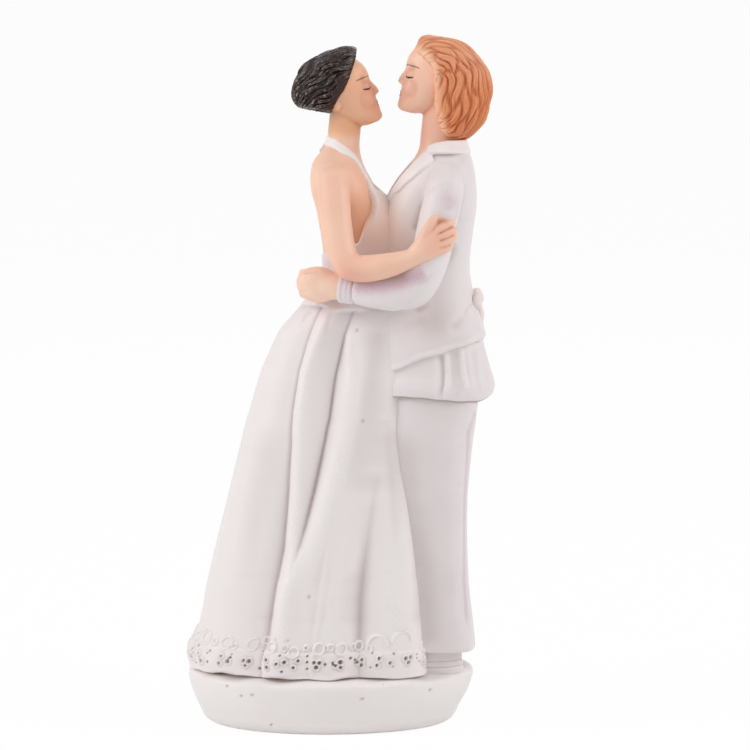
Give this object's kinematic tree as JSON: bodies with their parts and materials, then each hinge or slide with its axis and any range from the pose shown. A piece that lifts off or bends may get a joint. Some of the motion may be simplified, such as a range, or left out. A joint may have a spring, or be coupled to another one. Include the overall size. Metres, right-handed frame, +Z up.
{
  "type": "wedding cake topper",
  "caption": "Painted resin wedding cake topper: a bride in a halter gown and a bride in a white suit embrace on an oval base.",
  "frame": {"origin": "middle of the flat underside of the base", "axes": "+Z up; +X along the base from the gown's train to the back of the suit; the near side of the picture is at -Y"},
  "size_m": [0.0675, 0.0412, 0.1501],
  "materials": {
    "base_white": "satin",
    "gown_white": "satin",
    "suit_white": "satin",
    "skin": "satin",
    "brown_hair": "satin",
    "ginger_hair": "satin",
    "pin_steel": "satin"
  },
  "bodies": {
    "root": {"base_plinth": "base_white", "gown_peg": "pin_steel", "gown_skirt": "gown_white", "gown_lace_hem": "gown_white", "gown_bodice": "gown_white", "gown_halter_strap": "gown_white", "brunette_torso": "skin", "brunette_head": "skin", "brunette_hair": "brown_hair", "brunette_right_upper_arm": "skin", "brunette_right_forearm": "skin", "brunette_right_hand": "skin", "brunette_left_upper_arm": "skin", "brunette_left_forearm": "skin", "brunette_left_hand": "skin", "suit_tunic": "suit_white", "suit_jacket": "suit_white", "suit_collar": "suit_white", "suit_back_bow": "suit_white", "ginger_neck": "skin", "ginger_head": "skin", "ginger_hair": "ginger_hair", "suit_left_upper_sleeve": "suit_white", "suit_left_lower_sleeve": "suit_white", "suit_left_cuff": "suit_white", "ginger_left_hand": "skin", "suit_left_trouser_leg": "suit_white", "suit_left_shoe": "suit_white", "suit_left_leg_pin": "pin_steel", "suit_right_upper_sleeve": "suit_white", "suit_right_lower_sleeve": "suit_white", "suit_right_cuff": "suit_white", "ginger_right_hand": "skin", "suit_right_trouser_leg": "suit_white", "suit_right_shoe": "suit_white", "suit_right_leg_pin": "pin_steel"}
  },
  "joints": []
}
